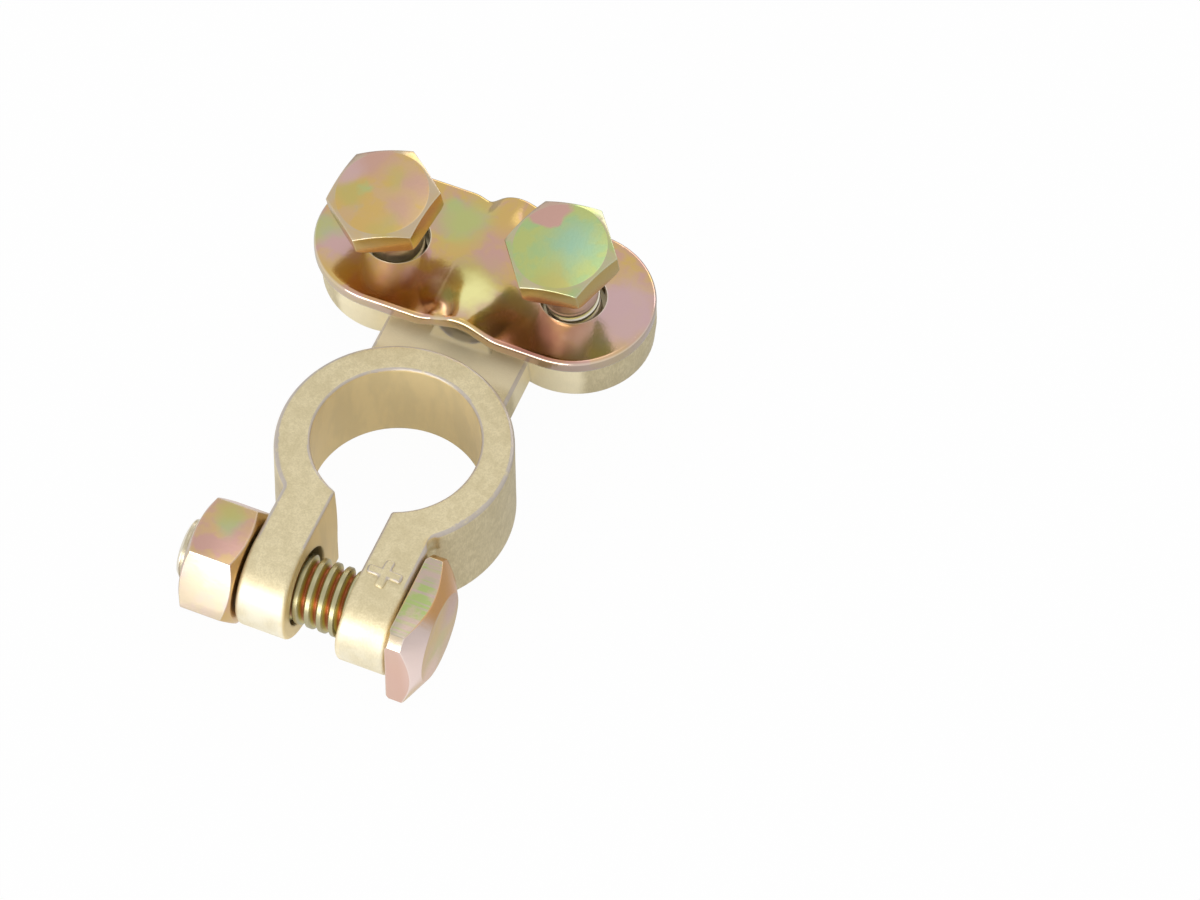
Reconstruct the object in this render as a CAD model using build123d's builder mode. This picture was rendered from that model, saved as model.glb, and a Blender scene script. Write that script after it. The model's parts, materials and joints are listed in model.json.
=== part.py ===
from build123d import *
from math import cos, radians, tan
import os

# A cast battery terminal clamp. The origin is on the axis of the post bore, at the
# ring's bottom face. +Y runs from the split ears to the cable saddle, +X towards the
# square head of the pinch bolt. All sizes are in millimetres.

# Ring and its tapered post bore
ring_h = 12.4
ring_outer_r = 13.1
ring_offset_y = -0.4
ring_draft_deg = 1.2
outer_edge_r = 0.65
bore_base_d = 19.5
bore_land_h = 3.6
bore_edge_r = 0.4
post_taper = 1 / 9

# Split ears
slot_w = 5.9
slot_top_w = 6.7
ear_outer_x = 8.8
ear_hole_y = -17.45
ear_root_r = 0.8
ear_hole_clearance = 0.65
relief_r = 1.15
relief_depth = 2.4
relief_inset = 0.75
nut_swing_clearance = 0.3

# Neck between ring and saddle
neck_w = 16.8
neck_h = 3.6
neck_top_z = 9.2
neck_draft_deg = 8
neck_edge_r = 0.6
neck_root_r = 0.7

# Saddle block
saddle_y = 25.9
hole_spacing = 21.4
lobe_r = 9.1
waist_w = 16.4
waist_fillet_r = 4
block_bottom_z = 5.2
block_top_z = 10.8
block_draft_deg = 3
block_edge_r = 0.6
underside_web_w = 9
thread_play = 0.58
hole_chamfer = 0.4

# Cable channel, a little off the saddle's middle
channel_x = 0.5
trough_w = 5.8
trough_depth = 1.3
lip_w = 8
lip_reach = 9.8
lip_draft_deg = 18

# Pressed saddle plate
plate_t = 1.5
plate_r = 9.35
plate_edge_r = 0.55
plate_seat_gap = 0.05
plate_hole_clearance = 0.65
arch_w = 6.4
arch_rise = 1.75
arch_foot_r = 0.6

# Saddle bolts, loose in their holes, so that both lean
saddle_thread_d = 6.3
saddle_head_af = 11.15
saddle_head_t = 3.4
saddle_flat_d = 10.5
saddle_bolt_l = 12.7
pivot_depth = 2.1
lean_x = -0.08
lean_y = -0.17
left_gap = 6.25
right_gap = 7.85
left_turn_deg = 20.6
right_turn_deg = 6.6

# Pinch bolt and nut, loose in the ears' hole
pinch_sag = 0.35
pinch_thread_d = 7.8
square_af = 12.7
square_corner_d = 16.4
square_head_t = 3.7
square_flat_d = 10
nut_af = 12.4
nut_t = 6.15
nut_flat_d = 11.8
nut_turn_deg = 2.2
nut_bore_clearance = 0.05
nut_bore_chamfer = 0.45
seat_gap = 0.3
bolt_stub = 2

# Chamfers that all the fasteners share
bolt_end_chamfer = 0.8
head_chamfer_deg = 30
underhead_chamfer = 0.3

pinch_y = ear_hole_y - pinch_sag
pinch_z = ring_h / 2
ear_end_r = ring_h / 2
bore_base_r = bore_base_d / 2
bore_top_r = bore_base_r - (ring_h - bore_land_h) * post_taper / 2
pinch_hole_r = pinch_thread_d / 2 + ear_hole_clearance
neck_bottom_z = neck_top_z - neck_h
block_split_z = (block_bottom_z + block_top_z) / 2
saddle_hole_r = saddle_thread_d / 2 + thread_play
plate_hole_r = saddle_thread_d / 2 + plate_hole_clearance
plate_bottom_z = block_top_z + plate_seat_gap
plate_top_z = plate_bottom_z + plate_t
pivot_z = block_top_z - pivot_depth
plate_rise = (plate_bottom_z + plate_top_z) / 2 - pivot_z
plate_x = lean_x * plate_rise
plate_y = saddle_y + lean_y * plate_rise
arch_x = channel_x - plate_x
seat_x = ear_outer_x + seat_gap
nut_corner_r = nut_af / 2 / cos(radians(30))
saddle_head_corner_r = saddle_head_af / 2 / cos(radians(30))


def draft(height, angle):
    """How far a drafted wall moves sideways over this height."""
    return height * tan(radians(angle))


def arc_radius(chord, rise):
    """Radius of the arc that stands this high over this chord."""
    return (chord**2 / 4 + rise**2) / (2 * rise)


def side_plane(base):
    """The plane that holds the base plane's normal as its own upward direction."""
    return Plane(origin=base.origin, x_dir=base.x_dir, z_dir=-base.y_dir)


def ring_reach(edge):
    """How far the middle of an edge is from the ring's axis."""
    middle = edge @ 0.5
    return (middle.X**2 + (middle.Y - ring_offset_y) ** 2) ** 0.5


def saddle_seat(side, gap):
    """Plane under a saddle bolt's head, held up above the plate by the leaning bolt."""
    rise = plate_top_z + gap - pivot_z
    lean = Vector(lean_x, lean_y, 1)
    foot = Vector(side * hole_spacing / 2, saddle_y, pivot_z)
    return Plane(origin=foot + lean * rise, x_dir=Vector(0, 1, 0).cross(lean), z_dir=lean)


def turned_head_points(flat_r, corner_r, height, foot_r, foot_drop):
    """Half section of a head or nut, chamfered down from its flat circle."""
    return (
        (0, 0),
        (foot_r, 0),
        (corner_r, foot_drop),
        (corner_r, height - draft(corner_r - flat_r, head_chamfer_deg)),
        (flat_r, height),
        (0, height),
    )


def shank_points(length, radius):
    """Half section of a bolt's shank, hanging from its seat, with a chamfered end."""
    return (
        (0, 0),
        (radius, 0),
        (radius, bolt_end_chamfer - length),
        (radius - bolt_end_chamfer, -length),
        (0, -length),
    )


ring_foot_r = ring_outer_r + draft(ring_h, ring_draft_deg)
trough_r = arc_radius(trough_w, trough_depth)
arch_r = arc_radius(arch_w, arch_rise)
head_seat = Plane((seat_x, pinch_y, pinch_z), x_dir=(0, 1, 0), z_dir=(1, 0, 0))
nut_seat = Plane((-seat_x, pinch_y, pinch_z), x_dir=(0, 1, 0), z_dir=(-1, 0, 0))
pinch_axis = Axis(head_seat.origin, head_seat.z_dir)
pinch_bolt_l = 2 * seat_x + nut_t + bolt_stub
nut_chamfer = draft(nut_corner_r - nut_flat_d / 2, head_chamfer_deg)
nut_points = turned_head_points(nut_flat_d / 2, nut_corner_r, nut_t, nut_flat_d / 2, nut_chamfer)
square_head_points = turned_head_points(
    square_flat_d / 2,
    square_corner_d / 2,
    square_head_t,
    square_corner_d / 2 - underhead_chamfer,
    underhead_chamfer,
)
saddle_head_points = turned_head_points(
    saddle_flat_d / 2,
    saddle_head_corner_r,
    saddle_head_t,
    saddle_head_corner_r - underhead_chamfer,
    underhead_chamfer,
)

# Clamp body: one casting of ring, ears, neck and saddle block
with BuildPart() as clamp_body:
    # Saddle block: two lobes and a waist, drafted both ways from the parting line
    with BuildSketch(Plane((0, saddle_y, block_split_z))) as block_outline:
        with GridLocations(hole_spacing, 0, 2, 1):
            Circle(lobe_r)
        Rectangle(hole_spacing, waist_w)
        waist_corners = block_outline.vertices().sort_by(lambda v: abs(v.X))[:4]
        fillet(waist_corners, waist_fillet_r)
    extrude(amount=block_top_z - block_split_z, both=True, taper=block_draft_deg)
    flat_faces = clamp_body.faces().filter_by(Axis.Z)
    fillet(flat_faces.edges(), block_edge_r)

    # Both ears as one block, half round about the pinch bolt
    with BuildSketch(Plane.YZ.offset(-ear_outer_x)):
        with Locations((ear_hole_y, pinch_z)):
            Circle(ear_end_r)
            Rectangle(-ear_hole_y, ring_h, align=(Align.MIN, Align.CENTER))
    extrude(amount=2 * ear_outer_x)

    # Ring
    with BuildSketch(side_plane(Plane((0, ring_offset_y, 0)))):
        with BuildLine():
            Polyline(
                (0, 0),
                (ring_foot_r, 0),
                (ring_outer_r, ring_h),
                (0, ring_h),
                close=True,
            )
        make_face()
    revolve(axis=Axis((0, ring_offset_y, 0), (0, 0, 1)))

    # Fillets at the ears' roots, and one rounded rim that runs along ring and ears
    ear_sides = clamp_body.faces().filter_by(Axis.X)
    fillet([side.edges().sort_by(Axis.Y)[-1] for side in ear_sides], ear_root_r)
    fillet(clamp_body.edges().filter_by(Axis.Y), outer_edge_r)

    # Neck, with fillets where it leaves the ring
    with BuildSketch(side_plane(Plane.XY)) as neck_section:
        with BuildLine():
            Polyline(
                (-neck_w / 2 - draft(neck_h, neck_draft_deg), neck_bottom_z),
                (neck_w / 2 + draft(neck_h, neck_draft_deg), neck_bottom_z),
                (neck_w / 2, neck_top_z),
                (-neck_w / 2, neck_top_z),
                close=True,
            )
        make_face()
        fillet(neck_section.vertices(), neck_edge_r)
    extrude(amount=-saddle_y)
    low_edges = clamp_body.edges().filter_by_position(Axis.Z, block_bottom_z, block_top_z)
    neck_edges = low_edges.filter_by_position(Axis.Y, 0, saddle_y)
    neck_roots = neck_edges.filter_by(lambda edge: ring_outer_r < ring_reach(edge) < ring_foot_r)
    fillet(neck_roots, neck_root_r)

    # Lips that carry the trough out past the waist
    with BuildSketch(Plane((channel_x, saddle_y, block_split_z))):
        Rectangle(lip_w, 2 * lip_reach)
    extrude(amount=block_top_z - block_split_z, taper=lip_draft_deg)

    # Tapered post bore above a short straight land
    with BuildSketch(side_plane(Plane.XY)):
        with BuildLine():
            Polyline(
                (0, 0),
                (bore_base_r, 0),
                (bore_base_r, bore_land_h),
                (bore_top_r, ring_h),
                (0, ring_h),
                close=True,
            )
        make_face()
    revolve(axis=Axis.Z, mode=Mode.SUBTRACT)

    # Slot between the ears, upright up to the parting line and flared above it
    with BuildSketch(side_plane(Plane.XY)):
        with BuildLine():
            wall = Line((slot_w / 2, 0), (slot_w / 2, pinch_z))
            flare = TangentArc(wall @ 1, (slot_top_w / 2, ring_h), tangent=wall % 1)
            Line((0, 0), wall @ 0)
            Line(flare @ 1, (0, ring_h))
            mirror(about=Plane.YZ)
        make_face()
    extrude(amount=2 * ring_outer_r, mode=Mode.SUBTRACT)

    # Worn round the rims of slot and bore
    middle_faces = clamp_body.faces().filter_by_position(Axis.X, -slot_top_w / 2, slot_top_w / 2)
    slot_walls = middle_faces.filter_by_position(Axis.Y, -2 * ring_outer_r, -bore_base_r)
    slot_rims = slot_walls.edges().filter_by(lambda edge: abs((edge @ 0.5).Z - pinch_z) > bore_edge_r)
    round_edges = clamp_body.edges().filter_by(GeomType.CIRCLE)
    rims = round_edges.filter_by(lambda edge: edge.center().Z in (0, ring_h))
    bore_rims = rims.filter_by(lambda edge: edge.arc_center.Y == 0)
    fillet(slot_rims + bore_rims, bore_edge_r)

    # Cross hole for the pinch bolt
    with BuildSketch(Plane.YZ):
        with Locations((ear_hole_y, pinch_z)):
            Circle(pinch_hole_r)
    extrude(amount=ear_outer_x, both=True, mode=Mode.SUBTRACT)

    # Room for the nut's corners to swing past the ring
    with BuildSketch(nut_seat.offset(-seat_gap)):
        Circle(nut_corner_r + nut_swing_clearance)
    extrude(amount=nut_t, mode=Mode.SUBTRACT)

    # Pit between ear and ring, clear of the square head's corner
    with BuildSketch(Plane.XY.offset(ring_h)):
        with Locations((ear_outer_x + relief_inset, ear_hole_y + square_af / 2 + relief_r / 4)):
            Circle(relief_r)
    extrude(amount=-relief_depth, mode=Mode.SUBTRACT)

    # Saddle bolt holes
    with Locations((0, saddle_y, block_top_z)):
        with GridLocations(hole_spacing, 0, 2, 1):
            CounterSinkHole(saddle_hole_r, saddle_hole_r + hole_chamfer, counter_sink_angle=90)

    # Cable trough across the block, and the raised web beneath it
    with BuildSketch(side_plane(Plane((channel_x, ring_outer_r, 0)))):
        with Locations((0, block_top_z - trough_depth + trough_r)):
            Circle(trough_r)
    extrude(amount=-2 * saddle_y, mode=Mode.SUBTRACT)
    with BuildSketch(Plane((0, saddle_y, block_bottom_z))):
        Rectangle(underside_web_w, 2 * lobe_r)
    extrude(amount=neck_bottom_z - block_bottom_z, mode=Mode.SUBTRACT)

# Saddle plate: a pressed strap, arched over the trough
with BuildPart() as saddle_plate:
    with BuildSketch(side_plane(Plane((plate_x, plate_y, plate_bottom_z)))) as strap_section:
        Rectangle(hole_spacing + 2 * plate_r, plate_t, align=(Align.CENTER, Align.MIN))
        with Locations((arch_x, arch_rise - arch_r)):
            Circle(arch_r + plate_t)
            Circle(arch_r, mode=Mode.SUBTRACT)
        Rectangle(
            hole_spacing + 2 * plate_r,
            2 * arch_r + plate_t,
            align=(Align.CENTER, Align.MAX),
            mode=Mode.SUBTRACT,
        )
        for height, foot_r in ((0, arch_foot_r + plate_t), (plate_t, arch_foot_r)):
            corners = strap_section.vertices().filter_by(lambda v: abs(v.Y - height) < 1e-6)
            fillet(corners.sort_by(lambda v: abs(v.X - arch_x))[:2], foot_r)
    extrude(amount=plate_r, both=True)
    with BuildSketch(Plane((plate_x, plate_y, plate_bottom_z))):
        SlotCenterToCenter(hole_spacing, 2 * plate_r)
        with GridLocations(hole_spacing, 0, 2, 1):
            Circle(plate_hole_r, mode=Mode.SUBTRACT)
    extrude(amount=arch_rise + plate_t, mode=Mode.INTERSECT)
    # The rim's straight runs lead the rounding on along the lobes and over the arch
    top_runs = saddle_plate.edges().filter_by(Axis.X).group_by(Axis.Z)[-1]
    fillet(top_runs, plate_edge_r)

# Saddle bolts: hex heads on leaning shanks
saddle_bolts = {}
for side, gap, turn_deg in ((-1, left_gap, left_turn_deg), (1, right_gap, right_turn_deg)):
    seat = saddle_seat(side, gap)
    seat_axis = Axis(seat.origin, seat.z_dir)
    with BuildPart() as saddle_bolt:
        with BuildSketch(seat):
            RegularPolygon(saddle_head_corner_r, 6, rotation=turn_deg)
        extrude(amount=saddle_head_t)
        with BuildSketch(side_plane(seat)):
            with BuildLine():
                Polyline(*saddle_head_points, close=True)
            make_face()
        revolve(axis=seat_axis, mode=Mode.INTERSECT)
        with BuildSketch(side_plane(seat)):
            with BuildLine():
                Polyline(*shank_points(saddle_bolt_l, saddle_thread_d / 2), close=True)
            make_face()
        revolve(axis=seat_axis)
    saddle_bolts["saddle_bolt_left" if side < 0 else "saddle_bolt_right"] = saddle_bolt

# Pinch bolt: a square head against the +X ear
with BuildPart() as pinch_bolt:
    with BuildSketch(head_seat):
        Rectangle(square_af, square_af)
    extrude(amount=square_head_t)
    with BuildSketch(side_plane(head_seat)):
        with BuildLine():
            Polyline(*square_head_points, close=True)
        make_face()
    revolve(axis=pinch_axis, mode=Mode.INTERSECT)
    with BuildSketch(side_plane(head_seat)):
        with BuildLine():
            Polyline(*shank_points(pinch_bolt_l, pinch_thread_d / 2), close=True)
        make_face()
    revolve(axis=pinch_axis)

# Pinch nut: chamfered on both faces, against the -X ear
with BuildPart() as pinch_nut:
    with BuildSketch(nut_seat):
        RegularPolygon(nut_corner_r, 6, rotation=-nut_turn_deg)
    extrude(amount=nut_t)
    with BuildSketch(side_plane(nut_seat)):
        with BuildLine():
            Polyline(*nut_points, close=True)
        make_face()
    revolve(axis=pinch_axis, mode=Mode.INTERSECT)
    with BuildSketch(nut_seat):
        Circle(pinch_thread_d / 2 + nut_bore_clearance)
    extrude(amount=nut_t, mode=Mode.SUBTRACT)
    bore_edges = pinch_nut.edges().filter_by(GeomType.CIRCLE).group_by(SortBy.RADIUS)[0]
    chamfer(bore_edges, nut_bore_chamfer)

pieces = {"clamp_body": clamp_body, "saddle_plate": saddle_plate}
pieces.update(saddle_bolts)
pieces.update({"pinch_bolt": pinch_bolt, "pinch_nut": pinch_nut})

os.makedirs("parts", exist_ok=True)
for name, piece in pieces.items():
    piece.part.label = name
    export_step(piece.part, f"parts/{name}.step")
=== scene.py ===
import json
import bmesh
import bpy
from math import copysign, cos, exp, pi, radians, sin
from mathutils import Matrix, Vector, noise
from mathutils.bvhtree import BVHTree


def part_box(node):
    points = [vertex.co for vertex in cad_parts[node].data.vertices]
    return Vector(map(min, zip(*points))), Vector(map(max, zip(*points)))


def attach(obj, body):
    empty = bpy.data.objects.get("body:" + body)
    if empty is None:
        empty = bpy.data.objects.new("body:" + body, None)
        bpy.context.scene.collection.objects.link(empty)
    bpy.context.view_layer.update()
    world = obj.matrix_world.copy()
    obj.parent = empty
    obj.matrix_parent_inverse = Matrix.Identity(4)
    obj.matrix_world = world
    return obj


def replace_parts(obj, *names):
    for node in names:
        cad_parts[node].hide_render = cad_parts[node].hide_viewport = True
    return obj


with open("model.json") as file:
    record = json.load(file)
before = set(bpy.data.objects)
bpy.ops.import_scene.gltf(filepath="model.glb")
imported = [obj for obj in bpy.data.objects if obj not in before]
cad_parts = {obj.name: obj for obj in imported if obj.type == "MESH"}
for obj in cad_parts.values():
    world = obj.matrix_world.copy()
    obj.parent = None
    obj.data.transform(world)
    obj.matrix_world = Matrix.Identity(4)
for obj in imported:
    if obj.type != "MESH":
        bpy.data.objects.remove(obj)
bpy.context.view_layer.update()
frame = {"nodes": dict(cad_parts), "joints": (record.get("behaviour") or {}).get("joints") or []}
joints = {joint["name"]: joint for joint in frame["joints"]}
print("frame loaded:", ", ".join(sorted(frame["nodes"])))


# camera, where the photograph was taken from

photoView = {
    "azimuth": radians(19.8),
    "elevation": radians(55.9),
    "roll": radians(2.53),
    "distance": 0.44467,
    "right": 0.02248,
    "up": 0.00576,
    "lens": 120,
}


def placeCamera(spec):
    flat = cos(spec["elevation"])
    back = Vector((sin(spec["azimuth"]) * flat, -cos(spec["azimuth"]) * flat, sin(spec["elevation"])))
    level = back.cross(Vector((0, 0, -1))).normalized()
    upright = back.cross(level)
    turn = Matrix.Rotation(spec["roll"], 3, back)
    level = turn @ level
    upright = turn @ upright
    data = bpy.data.cameras.new("photoCamera")
    data.lens = spec["lens"]
    data.sensor_width = 36
    data.clip_start = 0.01
    camera = bpy.data.objects.new("photoCamera", data)
    bpy.context.scene.collection.objects.link(camera)
    basis = Matrix((level, upright, back)).transposed()
    place = back * spec["distance"] + level * spec["right"] + upright * spec["up"]
    camera.matrix_world = Matrix.Translation(place) @ basis.to_4x4()
    bpy.context.scene.camera = camera


placeCamera(photoView)
print("camera placed")


# nodes and shader maths

class Field:  # a socket whose sums and products become Math nodes
    def __init__(self, finish, socket):
        self.finish = finish
        self.socket = socket

    def maths(self, operation, first, second):
        return self.finish.add("ShaderNodeMath", {"operation": operation}, {0: first, 1: second})

    def __add__(self, other):
        return self.maths("ADD", self, other)

    def __radd__(self, other):
        return self.maths("ADD", other, self)

    def __sub__(self, other):
        return self.maths("SUBTRACT", self, other)

    def __rsub__(self, other):
        return self.maths("SUBTRACT", other, self)

    def __mul__(self, other):
        return self.maths("MULTIPLY", self, other)

    def __rmul__(self, other):
        return self.maths("MULTIPLY", other, self)

    def __abs__(self):
        return self.finish.add("ShaderNodeMath", {"operation": "ABSOLUTE"}, {0: self})


class Finish:  # one material and its nodes
    def __init__(self, name):
        self.material = bpy.data.materials.new(name)
        self.material.use_nodes = True
        self.tree = self.material.node_tree
        self.tree.nodes.clear()

    def add(self, kind, settings=None, inputs=None, output=0):
        node = self.tree.nodes.new(kind)
        for key, value in (settings or {}).items():
            setattr(node, key, value)
        for key, value in (inputs or {}).items():
            if isinstance(value, Field):
                self.tree.links.new(value.socket, node.inputs[key])
            else:
                node.inputs[key].default_value = value
        return Field(self, node.outputs[output])

    def vector(self, operation, first, second=(0, 0, 0), output="Vector"):
        return self.add("ShaderNodeVectorMath", {"operation": operation}, {0: first, 1: second}, output)

    def coords(self):
        return self.add("ShaderNodeTexCoord", output="Object")

    def along(self, axis, place=None):  # one of the coordinates, in metres
        return self.add("ShaderNodeSeparateXYZ", {}, {0: place or self.coords()}, axis)

    def normal(self):
        return self.add("ShaderNodeNewGeometry", output="Normal")

    def grain(self, size, detail=2, roughness=0.5, place=None, stretch=(1, 1, 1)):  # noise of this size
        where = self.vector("MULTIPLY", place or self.coords(), [share / size for share in stretch])
        values = {"Vector": where, "Scale": 1, "Detail": detail, "Roughness": roughness}
        return self.add("ShaderNodeTexNoise", {}, values)

    def spread(self, value, low, high, out=(0, 1), smooth=True):  # low to high becomes 0 to 1
        kind = "SMOOTHSTEP" if smooth else "LINEAR"
        return self.add(
            "ShaderNodeMapRange",
            {"interpolation_type": kind},
            {"Value": value, "From Min": low, "From Max": high, "To Min": out[0], "To Max": out[1]},
        )

    def blend(self, amount, first, second):
        def colour(value):
            return value if isinstance(value, Field) else (*value, 1)

        return self.add(
            "ShaderNodeMix", {"data_type": "RGBA"}, {0: amount, 6: colour(first), 7: colour(second)}, output=2
        )

    def wander(self, size, amount):  # object coordinates pushed about, for ragged patches
        where = self.vector("MULTIPLY", self.coords(), (1 / size, 1 / size, 1 / size))
        shift = self.add("ShaderNodeTexNoise", {}, {"Vector": where, "Scale": 1, "Detail": 3}, output="Color")
        centred = self.vector("SUBTRACT", shift, (0.5, 0.5, 0.5))
        pushed = self.vector("MULTIPLY", centred, (amount, amount, amount))
        return self.vector("ADD", self.coords(), pushed)

    def spot(self, place, centre, reach, core=0.25):  # 1 at the centre, fading to 0 at reach
        away = self.vector("DISTANCE", place, centre, output="Value")
        return self.spread(away, reach, reach * core)

    def offAxis(self, point, axis):  # distance from a line
        arm = self.vector("SUBTRACT", self.coords(), point)
        return self.vector("LENGTH", self.vector("CROSS_PRODUCT", arm, axis), output="Value")

    def edges(self, radius):  # 1 on outer edges, 0 on open faces
        rounded = self.add("ShaderNodeBevel", {"samples": 6}, {"Radius": radius})
        agree = self.vector("DOT_PRODUCT", rounded, self.normal(), output="Value")
        return self.spread(agree, 0.995, 0.93)

    def finishMetal(self, colour, roughness, height, depth, metal=1, rounding=0.0002):
        rounded = self.add("ShaderNodeBevel", {"samples": 6}, {"Radius": rounding})
        bump = self.add("ShaderNodeBump", {}, {"Height": height, "Distance": depth, "Strength": 1, "Normal": rounded})
        shader = self.add(
            "ShaderNodeBsdfPrincipled",
            {},
            {"Base Color": colour, "Metallic": metal, "Roughness": roughness, "Normal": bump},
        )
        self.close(shader)
        return self.material

    def close(self, shader):
        end = self.tree.nodes.new("ShaderNodeOutputMaterial")
        self.tree.links.new(shader.socket, end.inputs["Surface"])


castLook = {
    "pale": (0.80, 0.70, 0.46),
    "deep": (0.56, 0.47, 0.27),
    # painted bounce light on the walls of the bore and slot
    "wallBounceLight": (0.87, 0.70, 0.37),
    "worn": (0.50, 0.45, 0.46),
    "crumb": (0.72, 0.50, 0.18),
    # painted shadow in the hollow of the pit
    "pitShadow": (0.20, 0.11, 0.04),
    # painted light on the neck
    "neck": (0.98, 0.88, 0.62),
    # painted highlight on the front of the ear ends
    "white": (0.96, 0.91, 0.75),
    "fleckSize": 0.00019,
    "mottleSize": 0.0010,
    "rubSize": 0.0011,
    "swellSize": 0.0022,
    "stainSize": 0.0030,
    "cloudSize": 0.004,
    "boreReach": 0.0104,
    "boreFade": 0.0003,
    "slotReach": 0.0037,
    "slotFade": 0.0002,
    "slotEnd": (-0.008, -0.009),
    "earEnd": (-0.0205, -0.0230),
    "neckStart": (0.0118, 0.0135),
    "neckEnd": (0.0182, 0.0175),
    "rimEnd": (0.0178, 0.0165),
    "pit": (0.0095, -0.0109, 0.0122),
    "pitReach": 0.0017,
    "hollow": (0.0094, -0.0109, 0.0119),
    "hollowReach": 0.0008,
    "roughness": 0.40,
    "metal": 0.72,
    "rounding": 0.0005,
    "relief": 0.00005,
}


def castBrass(name, spec):  # sand-cast brass, tumbled satin, with greyish worn edges
    finish = Finish(name)
    across = finish.along("X")
    length = finish.along("Y")
    tilt = finish.along("Z", finish.normal())
    fleck = finish.grain(spec["fleckSize"], 3, 0.62, stretch=(1, 1, 0.3))  # drawn out down the flanks
    mottle = finish.grain(spec["mottleSize"], 4, 0.65)
    cloud = finish.grain(spec["cloudSize"], 3, 0.55)
    colour = finish.blend(finish.spread(cloud, 0.66, 0.34) * 0.25, spec["pale"], spec["deep"])
    colour = finish.blend(finish.spread(mottle, 0.60, 0.40) * 0.28, colour, spec["deep"])
    colour = finish.blend(finish.spread(fleck, 0.64, 0.36) * 0.45, colour, spec["deep"])

    # walls of the bore and of the slot: painted bounce light, a brighter and more saturated gold, with stains in it
    flat = finish.vector("MULTIPLY", finish.coords(), (1, 1, 0))
    radius = finish.vector("LENGTH", flat, output="Value")
    inBore = finish.spread(radius, spec["boreReach"], spec["boreReach"] - spec["boreFade"])
    inSlot = finish.spread(abs(across), spec["slotReach"], spec["slotReach"] - spec["slotFade"])
    inSlot = inSlot * finish.spread(length, *spec["slotEnd"])
    wallBounceLight = (inBore + inSlot - inBore * inSlot) * finish.spread(abs(tilt), 0.6, 0.3)
    stain = finish.spread(finish.grain(spec["stainSize"], 3, 0.6, stretch=(1, 1, 0.25)), 0.42, 0.62)
    colour = finish.blend(wallBounceLight * 0.9, colour, finish.blend(stain * 0.24, spec["wallBounceLight"], spec["deep"]))

    # pit beside the square head, with a painted shadow in its hollow; painted highlight on the ear ends; painted
    # light on the neck
    inPit = finish.spot(finish.coords(), spec["pit"], spec["pitReach"], 0.4)
    pitShadowMask = finish.spot(finish.coords(), spec["hollow"], spec["hollowReach"], 0.3)
    colour = finish.blend(inPit * 0.8, colour, spec["crumb"])
    # painted shadow, dark brown in the hollow of the pit
    colour = finish.blend(pitShadowMask * 0.9, colour, spec["pitShadow"])
    forward = finish.along("Y", finish.normal())
    # painted highlight: the front faces of the ear ends whitened
    earEndHighlight = finish.spread(forward, -0.55, -0.95) * finish.spread(length, *spec["earEnd"])
    colour = finish.blend(earEndHighlight * finish.spread(cloud, 0.35, 0.65, (0.8, 0.3)), colour, spec["white"])
    # painted light: the neck between ring and block made paler and less metallic, so it reads brighter
    neckPaintedLight = finish.spread(length, *spec["neckStart"]) * finish.spread(length, *spec["neckEnd"])
    colour = finish.blend(neckPaintedLight * 0.8, colour, spec["neck"])

    # worn rims
    rim = finish.spread(tilt, 0.985, 0.93) * finish.spread(tilt, 0.3, 0.5)
    rim = rim * finish.spread(abs(length), *spec["rimEnd"])
    rubbed = rim * finish.spread(finish.grain(spec["rubSize"], 3), 0.25, 0.45)
    colour = finish.blend(rubbed * 0.7, colour, spec["worn"])
    roughness = spec["roughness"] + fleck * 0.14 - rubbed * 0.1
    height = fleck * 0.4 + finish.grain(spec["swellSize"], 2) * 0.7
    metal = spec["metal"] - neckPaintedLight * 0.45
    return finish.finishMetal(colour, roughness, height, spec["relief"], metal, spec["rounding"])


plated = {
    "tan": (0.64, 0.44, 0.23),
    "gold": (0.66, 0.45, 0.16),
    "rose": (0.61, 0.37, 0.31),
    "pink": (0.78, 0.51, 0.43),
    "blush": (0.98, 0.80, 0.76),
    # painted highlight on the front of the strap's arch
    "highlightYellow": (0.95, 0.90, 0.40),
    # painted reflection in the pools under the heads
    "poolReflectionRed": (0.55, 0.27, 0.19),
    "lilac": (0.64, 0.44, 0.44),
    "olive": (0.55, 0.47, 0.16),
    "green": (0.42, 0.55, 0.25),
    "grass": (0.40, 0.52, 0.20),
    "blue": (0.34, 0.54, 0.39),
    "grey": (0.50, 0.45, 0.35),
    "silver": (0.80, 0.75, 0.63),
    "lime": (0.50, 0.55, 0.20),
    "bronze": (0.58, 0.48, 0.34),
    "amber": (0.82, 0.42, 0.16),
    # painted reflection, darkest in the pool under the right head
    "poolReflectionDark": (0.40, 0.17, 0.13),
    "crest": (0.46, 0.42, 0.25),
    "rust": (0.47, 0.22, 0.11),
}


film = {
    "patchSize": 0.003,
    "fineSize": 0.0003,
    "waveSize": 0.004,
    "blotchSize": 0.0022,
    "chamferSize": 0.003,
    "edgeReach": 0.0003,
    "relief": 0.00004,
    "rounding": 0.00007,
}


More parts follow.
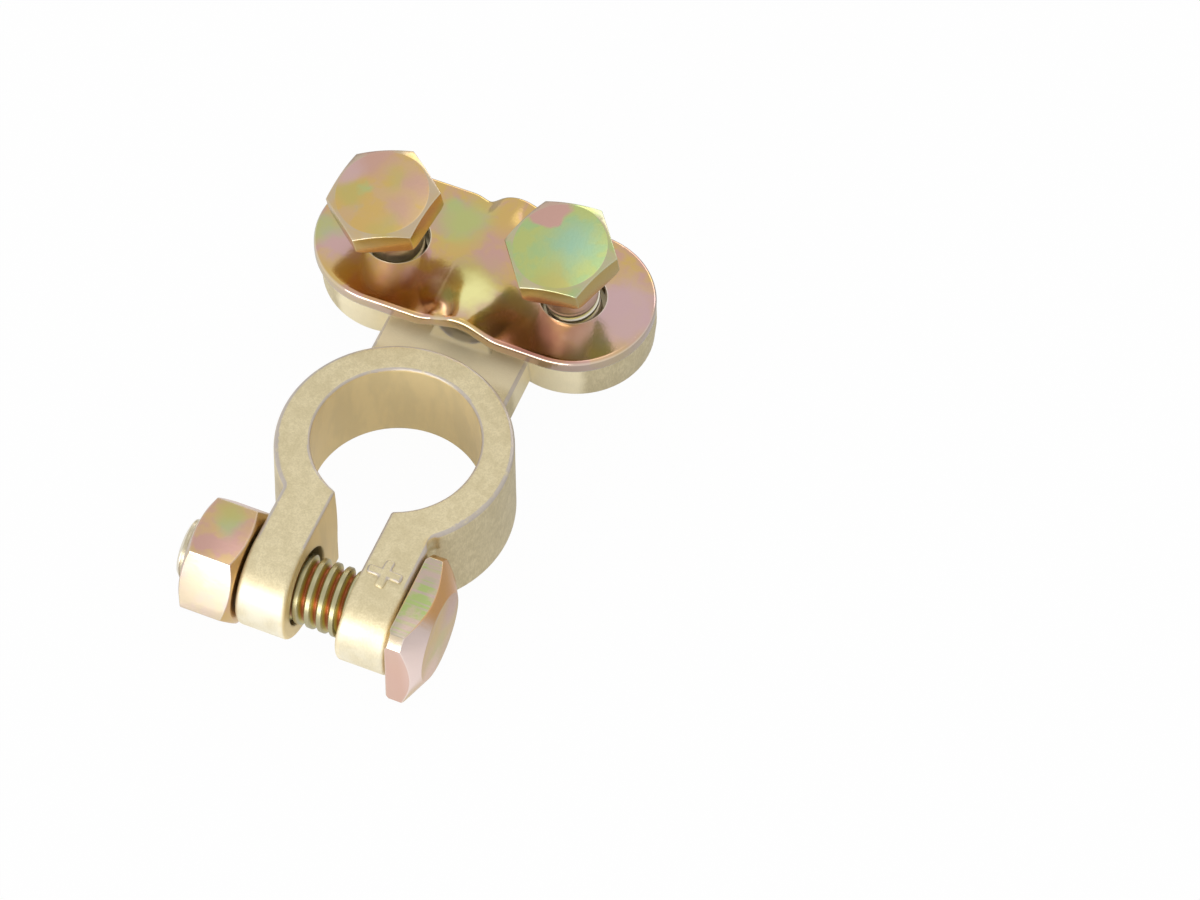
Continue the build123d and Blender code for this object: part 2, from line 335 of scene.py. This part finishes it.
def platedSteel(name, look):  # zinc under a yellow chromate film, which shades from gold to pink and green
    finish = Finish(name)
    ragged = finish.wander(film["patchSize"], film["patchSize"])
    drift = finish.spread(finish.grain(look["drift"], 3, 0.55, ragged), 0.40, 0.60)
    colour = finish.blend(drift, plated[look["main"]], plated[look["other"]])
    for tint, centre, reach, amount, core in look["patches"]:
        colour = finish.blend(finish.spot(ragged, centre, reach, core) * amount, colour, plated[tint])
    for tint, facing, amount in look.get("paintedFacingLight", ()):  # faces turned one way share one colour: painted light and shade by facing
        agree = finish.vector("DOT_PRODUCT", finish.normal(), facing, output="Value")
        colour = finish.blend(finish.spread(agree, 0.72, 0.86) * amount, colour, plated[tint])
    tilt = finish.along("Z", finish.normal())
    if "stripes" in look:  # shear marks across a face that looks up
        stripes = look["stripes"]
        band = finish.spread(finish.grain(stripes["width"], 2, 0.7, stretch=(0.04, 1, 0.3)), 0.44, 0.56)
        blotch = finish.spread(finish.grain(film["blotchSize"], 3), 0.45, 0.6)
        shade = finish.blend(band, plated[stripes["one"]], plated[stripes["two"]])
        shade = finish.blend(blotch * 0.5, shade, plated["lilac"])
        colour = finish.blend(finish.spread(tilt, 0.8, 0.93) * 0.9, colour, shade)
    if "side" in look:  # flats of a hex head, and the chamfer above them
        lean = abs(finish.vector("DOT_PRODUCT", finish.normal(), look["axis"], output="Value"))
        colour = finish.blend(finish.spread(lean, 0.45, 0.2) * look["sideAmount"], colour, plated[look["side"]])
        # darker bronze over the chamfer, in noisy patches
        chamferTint = finish.spread(lean, 0.985, 0.95) * finish.spread(lean, 0.5, 0.65)
        chamferTint = chamferTint * finish.spread(finish.grain(film["chamferSize"], 2), 0.3, 0.6)
        colour = finish.blend(chamferTint * look["chamfer"], colour, plated["bronze"])
    # painted highlight: silver on sloped faces, such as a rounded rim
    if "rim" in look:
        colour = finish.blend(finish.spread(tilt, 0.88, 0.6) * look["rim"], colour, plated["silver"])
    # silver along the outer edges: partly film worn off, partly a painted highlight
    worn = finish.edges(film["edgeReach"])
    colour = finish.blend(worn * 0.85, colour, plated["silver"])
    if "glow" in look:
        tint, centre, reach = look["glow"]
        colour = finish.blend(worn * finish.spot(finish.coords(), centre, reach, 0.5), colour, plated[tint])
    fine = finish.grain(film["fineSize"], 3, 0.6)
    rough = look["roughness"] + fine * 0.1
    height = fine * 0.14
    if "waves" in look:
        height = height + finish.grain(film["waveSize"], 2) * look["waves"]
    if "thread" in look:
        shank, shade = threadShade(finish, look)
        colour = finish.blend(shank, colour, shade)
        rough = rough + shank * 0.1
    return finish.finishMetal(colour, rough, height, film["relief"], rounding=film["rounding"])


def threadShade(finish, look):  # pale worn crests, olive flanks, red-brown roots
    thread = look["thread"]
    arm = finish.vector("SUBTRACT", finish.coords(), look["seat"])
    below = finish.vector("DOT_PRODUCT", arm, look["axis"], output="Value")
    radius = finish.offAxis(look["seat"], look["axis"])
    within = finish.spread(radius, thread["radius"] + 0.0002, thread["radius"] + 0.0001)
    shank = finish.spread(below, 0.00003, -0.00003) * within
    level = finish.spread(radius, thread["radius"] - thread["depth"], thread["radius"], smooth=False)
    shade = finish.blend(finish.spread(level, 0.15, 0.45), plated["rust"], plated["olive"])
    shade = finish.blend(finish.spread(level, 0.5, 0.85), shade, plated[look["crest"]])
    if "stub" in look:  # the end past the nut is only worn and pale
        past = finish.spread(finish.along("X"), look["stub"], look["stub"] - 0.0003)
        shade = finish.blend(past, shade, plated["silver"])
    return shank, shade


def dress(piece, material):
    piece.data.materials.clear()
    piece.data.materials.append(material)


# helpers for new pieces

def newPiece(name, bm, body, material, crease=32):
    bm.normal_update()
    for face in bm.faces:
        face.smooth = True
    for edge in bm.edges:
        edge.smooth = edge.calc_face_angle(pi) < radians(crease)
    mesh = bpy.data.meshes.new(name)
    bm.to_mesh(mesh)
    bm.free()
    piece = bpy.data.objects.new(name, mesh)
    bpy.context.scene.collection.objects.link(piece)
    dress(piece, material)
    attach(piece, body)
    return piece


def nodeCopy(node):  # a merged copy of a CAD node's mesh
    bm = bmesh.new()
    bm.from_mesh(frame["nodes"][node].data)
    bmesh.ops.remove_doubles(bm, verts=bm.verts, dist=1e-6)
    return bm


def cutAway(bm, point, normal):  # drops what lies on the normal's side and closes the cut
    geometry = bm.verts[:] + bm.edges[:] + bm.faces[:]
    cut = bmesh.ops.bisect_plane(bm, geom=geometry, dist=1e-7, plane_co=point, plane_no=normal, clear_outer=True)
    rim = [item for item in cut["geom_cut"] if isinstance(item, bmesh.types.BMEdge)]
    bmesh.ops.holes_fill(bm, edges=rim)


def softenEdges(bm, width, limit=20):  # merges flat faces, then rounds what is left sharp
    bmesh.ops.dissolve_limit(bm, angle_limit=radians(0.5), verts=bm.verts, edges=bm.edges)
    sharp = [edge for edge in bm.edges if edge.is_manifold and edge.calc_face_angle() > radians(limit)]
    bmesh.ops.bevel(
        bm, geom=sharp, offset=width, segments=3, profile=0.5, affect="EDGES", material=-1, clamp_overlap=True
    )


# bolts: each head comes from its CAD solid, each thread is spun as a helix

threadSteps = 48
headEdge = 0.00016
nutEdge = 0.00032
saddleThread = {
    "radius": 0.00312,
    "pitch": 0.00127,
    "depth": 0.0006,
    "chamfer": 0.0008,
    "neck": 0.0064,
    "neckRadius": 0.00312,
}
pinchThread = {
    "radius": 0.00388,
    "pitch": 0.001411,
    "depth": 0.00078,
    "chamfer": 0.0007,
    "neck": 0.0030,
    "neckRadius": 0.00375,
}


def spunThread(spec, start, direction, length):
    turns = int(length / spec["pitch"]) + 3
    bm = bmesh.new()
    points = 12
    ring = []
    for index in range(points + 1):
        share = index / points
        away = max(0, abs(2 * share - 1) - 0.3) / 0.7  # 0 over the broad crest, 1 at the root
        radius = spec["radius"] - spec["depth"] * (0.5 - 0.5 * cos(pi * away))
        ring.append(bm.verts.new((radius, 0, (share - 1) * spec["pitch"])))
    profile = [bm.edges.new(pair) for pair in zip(ring[:-1], ring[1:])]
    bmesh.ops.spin(
        bm,
        geom=ring + profile,
        cent=(0, 0, 0),
        axis=(0, 0, 1),
        dvec=(0, 0, spec["pitch"] / threadSteps),
        angle=2 * pi * turns,
        steps=turns * threadSteps,
        use_merge=False,
        use_duplicate=False,
    )
    bmesh.ops.remove_doubles(bm, verts=bm.verts, dist=spec["pitch"] / 60)
    cutAway(bm, (0, 0, length), (0, 0, 1))
    cutAway(bm, (0, 0, 0), (0, 0, -1))
    for vert in bm.verts:  # plain neck under the head, chamfer at the end
        flat = Vector((vert.co.x, vert.co.y))
        if flat.length < spec["radius"] / 2:
            continue
        cut = min(1, max(0, (vert.co.z - spec["neck"]) / spec["pitch"]))
        reach = spec["neckRadius"] + (flat.length - spec["neckRadius"]) * cut
        reach = min(reach, spec["radius"] - spec["chamfer"] + (length - vert.co.z))
        vert.co.xy = flat * reach / flat.length
    bmesh.ops.recalc_face_normals(bm, faces=bm.faces)
    turn = Vector((0, 0, 1)).rotation_difference(direction).to_matrix().to_4x4()
    bm.transform(Matrix.Translation(start) @ turn)
    return bm


def makeBolt(name, node, body, spec, seat, down, length, material):
    bm = nodeCopy(node)
    cutAway(bm, seat, down)  # the head alone
    softenEdges(bm, headEdge)
    thread = spunThread(spec, seat, down, length)
    mesh = bpy.data.meshes.new(name + "Thread")
    thread.to_mesh(mesh)
    thread.free()
    bm.from_mesh(mesh)
    bpy.data.meshes.remove(mesh)
    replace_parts(newPiece(name, bm, body, material), node)


saddleBolts = {  # patches: tint, place on the crown and reach in millimetres, amount, core
    "left": {
        "main": "tan",
        "other": "gold",
        "patches": (
            ("rose", (-3.2, 4.2), 4.2, 0.9, 0.3),
            ("olive", (-3.3, -0.9), 2.6, 0.8, 0.3),
            ("olive", (1.2, 2.2), 2.4, 0.6, 0.2),
            ("green", (-1.8, 0.0), 1.2, 0.8, 0.3),
            ("rose", (3.6, 2.4), 2.8, 0.8, 0.2),
            ("rose", (2.6, -1.6), 2.6, 0.6, 0.2),
            ("lilac", (-5.0, 1.6), 2.6, 0.8, 0.2),
            ("olive", (2.0, -4.0), 2.6, 0.6, 0.2),
            ("grey", (-1.6, -2.6), 0.8, 0.6, 0.3),
        ),
    },
    "right": {
        "main": "green",
        "other": "lime",
        "patches": (
            ("blue", (1.2, 0.8), 4.6, 0.9, 0.05),
            ("rose", (-3.0, 4.0), 2.7, 1.0, 0.75),
            ("olive", (1.0, -4.2), 3.0, 0.7, 0.2),
        ),
    },
}
headHeight = 0.0034
shankLength = 0.0127

for side, spec in saddleBolts.items():
    joint = joints["saddle_bolt_" + side + "_turn"]
    axis = Vector(joint["axis"]).normalized()
    pivot = Vector(joint["pos_m"])
    top = max(axis.dot(vert.co) for vert in frame["nodes"]["saddle_bolt_" + side].data.vertices)
    crown = pivot + axis * (top - axis.dot(pivot))
    seat = crown - axis * headHeight
    look = {
        "main": spec["main"],
        "other": spec["other"],
        "patches": [
            (tint, crown + Vector((x * 0.001, y * 0.001, 0)), reach * 0.001, amount, core)
            for tint, (x, y), reach, amount, core in spec["patches"]
        ],
        "drift": 0.0026,
        "axis": axis,
        "side": "gold",
        "sideAmount": 0.85,
        "chamfer": 0.75,
        "crest": "silver",
        "seat": seat,
        "thread": saddleThread,
        "roughness": 0.17,
    }
    steel = platedSteel("platedBolt" + side.title(), look)
    pieceName = "saddleBolt" + side.title()
    makeBolt(pieceName, "saddle_bolt_" + side, side + "_bolt", saddleThread, seat, -axis, shankLength, steel)
print("saddle bolts threaded")

pinchAxis = Vector((1, 0, 0))
pinchLow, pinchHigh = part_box("pinch_bolt")
pinchMiddle = Vector(joints["nut_turn"]["pos_m"])
squareHead = 0.0037
pinchSeat = Vector((pinchHigh[0] - squareHead, pinchMiddle.y, pinchMiddle.z))
pinchLook = {
    "main": "tan",
    "other": "gold",
    # painted light and shade by facing on the square head: pink and blush toward the front, silver toward front and
    # top, amber toward the back
    "paintedFacingLight": [
        ("pink", (0, -1, 0), 0.9),
        ("blush", (0.6, -0.7, 0.35), 0.9),
        ("silver", (0, -0.71, 0.71), 0.5),
        ("amber", (0.6, 0.4, 0.69), 0.7),
    ],
    "patches": [
        ("rose", pinchSeat + Vector((0.004, 0.003, 0.002)), 0.004, 0.8, 0.2),
        ("olive", pinchSeat + Vector((0.004, -0.001, -0.001)), 0.0035, 0.8, 0.2),
        ("pink", pinchSeat + Vector((0.004, -0.003, -0.003)), 0.0035, 0.7, 0.2),
    ],
    "glow": ("amber", pinchSeat + Vector((0.003, 0.0005, 0.006)), 0.0055),
    "stripes": {"one": "grey", "two": "grass", "width": 0.0007},
    "drift": 0.004,
    "axis": pinchAxis,
    "crest": "crest",
    "seat": pinchSeat,
    "thread": pinchThread,
    "stub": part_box("pinch_nut")[0][0] + 0.0002,
    "roughness": 0.2,
}
stubCut = 0.0005  # the end stands out less than in the CAD solid
pinchLength = pinchSeat.x - pinchLow[0] - stubCut
pinchSteel = platedSteel("platedPinchBolt", pinchLook)
makeBolt("pinchBolt", "pinch_bolt", "pinch", pinchThread, pinchSeat, -pinchAxis, pinchLength, pinchSteel)

nutLook = {
    "main": "tan",
    "other": "rose",
    "drift": 0.003,
    "patches": [
        ("green", pinchMiddle + Vector((-0.003, 0.001, 0.0062)), 0.0024, 0.7, 0.2),
        ("olive", pinchMiddle + Vector((-0.0035, 0.0025, 0.0062)), 0.0026, 0.7, 0.2),
    ],
    # painted light and shade by facing on the nut: a silver painted highlight on the front faces, grey and gold on
    # its two ends
    "paintedFacingLight": [
        ("silver", (0, -0.87, 0.5), 0.5),
        ("grey", (-1, 0, 0), 0.6),
        ("gold", (1, 0, 0), 0.6),
    ],
    "roughness": 0.2,
}
nutSteel = platedSteel("platedNut", nutLook)
nutMesh = nodeCopy("pinch_nut")
softenEdges(nutMesh, nutEdge)
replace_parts(newPiece("pinchNut", nutMesh, "nut", nutSteel), "pinch_nut")
print("pinch bolt and nut made")


# the casting and its plus sign

brass = castBrass("castBrass", castLook)
dress(frame["nodes"]["clamp_body"], brass)

plusSign = {
    "centre": (0.00586, -0.01633),
    "arms": (0.0041, 0.0036),
    "stroke": 0.0011,
    "rise": 0.00027,
    "wear": 0.00007,
    "wearSize": 0.0006,
    "seed": 5,
}


def makePlusSign(spec):
    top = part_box("clamp_body")[1][2]
    bm = bmesh.new()
    bmesh.ops.create_grid(bm, x_segments=3, y_segments=3, size=1)
    corners = [face for face in bm.faces if min(abs(value) for value in face.calc_center_median().xy) > 0.5]
    bmesh.ops.delete(bm, geom=corners, context="FACES")
    for vert in bm.verts:
        for axis in (0, 1):
            outer = abs(vert.co[axis]) > 0.5
            half = (spec["arms"][axis] if outer else spec["stroke"]) / 2
            vert.co[axis] = spec["centre"][axis] + copysign(half, vert.co[axis])
        vert.co.z = top - spec["rise"]
    raised = bmesh.ops.extrude_face_region(bm, geom=bm.faces[:])["geom"]
    lifted = [item for item in raised if isinstance(item, bmesh.types.BMVert)]
    bmesh.ops.translate(bm, vec=(0, 0, 2 * spec["rise"]), verts=lifted)
    bmesh.ops.recalc_face_normals(bm, faces=bm.faces)
    sharp = []
    for edge in bm.edges:
        middle = (edge.verts[0].co.z + edge.verts[1].co.z) / 2
        if edge.calc_face_angle(0) > radians(30) and middle > top - 0.00005:
            sharp.append(edge)
    bmesh.ops.bevel(
        bm, geom=sharp, offset=spec["rise"] * 1.2, segments=4, profile=0.5, affect="EDGES", material=-1
    )
    bmesh.ops.subdivide_edges(bm, edges=bm.edges[:], cuts=3, use_grid_fill=True)
    noise.seed_set(spec["seed"])  # without it the wear changes from run to run
    for vert in bm.verts:  # worn by the tumbling
        vert.co += noise.noise_vector(vert.co / spec["wearSize"]) * spec["wear"]
    newPiece("plusSign", bm, "clamp", brass, 80)


makePlusSign(plusSign)
print("casting dressed")


# strap: the pressed plate with its pinched arch ends and slight waves

strapShape = {
    "cell": 0.0004,
    "thickness": 0.0015,
    "archCentre": 0.0005,
    "archReach": (0.0049, 0.0068),  # at the rims and between them
    "archRise": (0.0017, 0.00125),
    "archFade": 0.005,
    "tuckReach": 0.0012,
    "sliver": 0.00002,
    "waves": ((0.0060, 0.00005), (0.0025, 0.000012)),
    "pinches": {
        "front": {
            "place": (-0.0029, 0.0169),
            "inward": 1,
            "reach": 0.0012,
            "width": 0.0012,
            "depth": 0.00020,
            "tuck": 0.0003,
        },
        "back": {
            "place": (-0.0031, 0.0340),
            "inward": -1,
            "reach": 0.0032,
            "width": 0.0011,
            "depth": 0.0005,
            "tuck": 0.0003,
        },
    },
}
strapLook = {
    "main": "gold",
    "other": "rose",
    "drift": 0.004,
    "patches": [
        ("green", (-0.0068, 0.0318, 0.0124), 0.0022, 0.7, 0.2),
        ("lime", (-0.0045, 0.0300, 0.0124), 0.0048, 0.9, 0.2),
        ("olive", (-0.0008, 0.0225, 0.0136), 0.0050, 0.9, 0.1),
        # painted highlight: pale yellow on the front slope of the arch
        ("highlightYellow", (0.0002, 0.0203, 0.0136), 0.0042, 0.95, 0.1),
        ("green", (-0.0016, 0.0196, 0.0136), 0.0016, 0.6, 0.3),
        # painted reflection: red-brown and darker patches in the pools under the heads, standing in for the heads'
        # undersides reflected in the strap
        ("poolReflectionRed", (0.0085, 0.0180, 0.0124), 0.0072, 0.95, 0.3),
        ("poolReflectionDark", (0.0088, 0.0180, 0.0124), 0.0048, 0.85, 0.3),
        ("poolReflectionRed", (0.0052, 0.0205, 0.0130), 0.0034, 0.8, 0.2),
        ("poolReflectionRed", (-0.0085, 0.0180, 0.0124), 0.0060, 0.6, 0.2),
        ("lilac", (0.0165, 0.0255, 0.0124), 0.0065, 0.9, 0.4),
        ("rose", (0.0010, 0.0275, 0.0124), 0.0050, 0.6, 0.2),
        ("pink", (0.0150, 0.0200, 0.0124), 0.0040, 0.5, 0.3),
        ("lilac", (-0.0165, 0.0220, 0.0124), 0.0040, 0.6, 0.3),
        ("green", (-0.0190, 0.0235, 0.0124), 0.0030, 0.6, 0.3),
    ],
    # painted highlight: silver on the strap's rounded rim and sides
    "rim": 0.45,
    "roughness": 0.10,
    "waves": 0.4,
}


def flattenArch(bm, spec, low, high):  # back to an even sheet, which can be cut into a clean grid
    tree = BVHTree.FromBMesh(bm)
    beside = (low[1] * 3 + high[1]) / 4  # a line that misses the bolt holes
    sections = {}
    for vert in bm.verts:
        x, y, z = vert.co
        if abs(x - spec["archCentre"]) > spec["archReach"][1]:
            continue
        column = round(x, 5)
        if column not in sections:
            over = tree.ray_cast(Vector((x, beside, high[2] + 0.001)), Vector((0, 0, -1)))[0].z
            under = tree.ray_cast(Vector((x, beside, low[2] - 0.001)), Vector((0, 0, 1)))[0].z
            sections[column] = (under, over)
        under, over = sections[column]
        vert.co.z = low[2] + spec["thickness"] * (z - under) / (over - under)
    bmesh.ops.dissolve_limit(bm, angle_limit=radians(1), verts=bm.verts, edges=bm.edges)


def archHeight(spec, low, high, x, y):  # full at the rims, a lower and wider swell between them
    middle = (low[1] + high[1]) / 2
    inside = min(1, max(0, ((high[1] - low[1]) / 2 - abs(y - middle)) / spec["archFade"]))
    inside = inside * inside * (3 - 2 * inside)
    reach, rise = (pair[0] + (pair[1] - pair[0]) * inside for pair in (spec["archReach"], spec["archRise"]))
    across = min(1, abs(x - spec["archCentre"]) / reach)
    return rise * (0.5 + 0.5 * cos(pi * across))


def makeStrap(spec, material):
    bm = nodeCopy("saddle_plate")
    low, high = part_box("saddle_plate")
    flattenArch(bm, spec, low, high)
    for axis, normal in ((0, (1, 0, 0)), (1, (0, 1, 0))):
        steps = int((high[axis] - low[axis]) / spec["cell"])
        for step in range(1, steps):
            place = low[axis] + (high[axis] - low[axis]) * step / steps
            geometry = bm.verts[:] + bm.edges[:] + bm.faces[:]
            point = Vector(normal) * place
            bmesh.ops.bisect_plane(bm, geom=geometry, dist=1e-7, plane_co=point, plane_no=normal)
    bmesh.ops.remove_doubles(bm, verts=bm.verts, dist=spec["sliver"])  # slivers beside the cuts
    for vert in bm.verts:
        x, y, z = vert.co
        share = min(1, max(0, (z - low[2]) / spec["thickness"]))
        rise = sum(noise.noise(Vector((x, y, 0)) / length) * height for length, height in spec["waves"])
        for pinch in spec["pinches"].values():
            inward = (y - pinch["place"][1]) * pinch["inward"]
            fade = exp(-((max(0, inward) / pinch["reach"]) ** 2))
            across = exp(-(((x - pinch["place"][0]) / pinch["width"]) ** 2))
            rise -= pinch["depth"] * fade * across
            tuck = pinch["tuck"] * across * exp(-((max(0, inward) / spec["tuckReach"]) ** 2))
            vert.co.y += pinch["inward"] * tuck
        vert.co.z += rise * share + archHeight(spec, low, high, x, y)
    strap = newPiece("pressedStrap", bm, "strap", material, 40)
    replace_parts(strap, "saddle_plate")


makeStrap(strapShape, platedSteel("platedStrap", strapLook))
print("strap pressed")


# studio: pale floor, white surroundings, soft lamps

studio = {
    "floorZ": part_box("pinch_nut")[0][2] - 0.0001,
    "floorSize": 3,
    "target": (0, 0.005, 0.008),
    "ambient": 0.75,
    "mirrorSky": 0.86,
    "mirrorFloor": (0.50, 1.0),  # at the back right and at the front left
    "mirrorWay": (-0.6, -0.8, 0),
    "mirrorReach": 0.02,
    "mirrorShare": 0.75,
    "seen": 0.97,
    "shade": 0.88,
}


def makeFloor(spec):
    bm = bmesh.new()
    bmesh.ops.create_grid(bm, x_segments=1, y_segments=1, size=spec["floorSize"])
    bmesh.ops.translate(bm, vec=(0, 0, spec["floorZ"]), verts=bm.verts)
    mesh = bpy.data.meshes.new("floor")
    bm.to_mesh(mesh)
    bm.free()
    floor = bpy.data.objects.new("floor", mesh)
    bpy.context.scene.collection.objects.link(floor)
    finish = Finish("paleFloor")
    matte = finish.add("ShaderNodeBsdfDiffuse", {}, {"Color": (spec["shade"],) * 3 + (1,)})
    white = finish.add("ShaderNodeEmission", {}, {"Color": (1, 1, 1, 1), "Strength": 1})
    towards = finish.vector("DOT_PRODUCT", finish.coords(), spec["mirrorWay"], output="Value")
    glow = finish.spread(towards, -spec["mirrorReach"], spec["mirrorReach"], spec["mirrorFloor"])
    dim = finish.add("ShaderNodeEmission", {}, {"Color": (1, 1, 1, 1), "Strength": glow})
    path = finish.tree.nodes.new("ShaderNodeLightPath")
    seen, glossy, through = (
        Field(finish, path.outputs[kind]) for kind in ("Is Camera Ray", "Is Glossy Ray", "Is Transmission Ray")
    )
    mixed = finish.add("ShaderNodeMixShader", {}, {0: seen * spec["seen"], 1: matte, 2: white})
    mirrored = (glossy + through) * spec["mirrorShare"]
    mixed = finish.add("ShaderNodeMixShader", {}, {0: mirrored, 1: mixed, 2: dim})
    finish.close(mixed)
    dress(floor, finish.material)


def makeWorld(spec):
    world = bpy.data.worlds.new("studioWorld")
    bpy.context.scene.world = world
    world.use_nodes = True
    nodes = world.node_tree.nodes
    links = world.node_tree.links
    nodes.clear()
    path = nodes.new("ShaderNodeLightPath")
    levels = []
    for strength in (spec["ambient"], 1.0, spec["mirrorSky"]):
        shade = nodes.new("ShaderNodeBackground")
        shade.inputs["Color"].default_value = (1, 1, 1, 1)
        shade.inputs["Strength"].default_value = strength
        levels.append(shade)
    seen = nodes.new("ShaderNodeMixShader")
    links.new(path.outputs["Is Camera Ray"], seen.inputs[0])
    links.new(levels[0].outputs[0], seen.inputs[1])
    links.new(levels[1].outputs[0], seen.inputs[2])
    mirrored = nodes.new("ShaderNodeMixShader")
    either = nodes.new("ShaderNodeMath")
    either.operation = "MAXIMUM"
    links.new(path.outputs["Is Glossy Ray"], either.inputs[0])
    links.new(path.outputs["Is Transmission Ray"], either.inputs[1])
    links.new(either.outputs[0], mirrored.inputs[0])
    links.new(seen.outputs[0], mirrored.inputs[1])
    links.new(levels[2].outputs[0], mirrored.inputs[2])
    end = nodes.new("ShaderNodeOutputWorld")
    links.new(mirrored.outputs[0], end.inputs["Surface"])


softboxes = {
    "frontBox": {"place": (-0.12, -0.62, 0.13), "size": (0.7, 0.26), "radiance": 4.2},
    "backBox": {"place": (0.12, 0.65, 0.20), "size": (0.7, 0.18), "radiance": 1.8},
    "topBox": {"place": (-0.05, 0.18, 0.85), "size": (0.35, 0.35), "radiance": 0.6},
}


def makeSoftbox(name, spec):
    data = bpy.data.lights.new(name, "AREA")
    data.shape = "RECTANGLE"
    data.size, data.size_y = spec["size"]
    data.energy = spec["radiance"] * pi * data.size * data.size_y
    lamp = bpy.data.objects.new(name, data)
    lamp.location = spec["place"]
    aim = Vector(studio["target"]) - lamp.location
    lamp.rotation_euler = aim.to_track_quat("-Z", "Y").to_euler()
    bpy.context.scene.collection.objects.link(lamp)


makeFloor(studio)
makeWorld(studio)
for name, spec in softboxes.items():
    makeSoftbox(name, spec)
bpy.context.scene.view_settings.view_transform = "Standard"
print("studio lit")
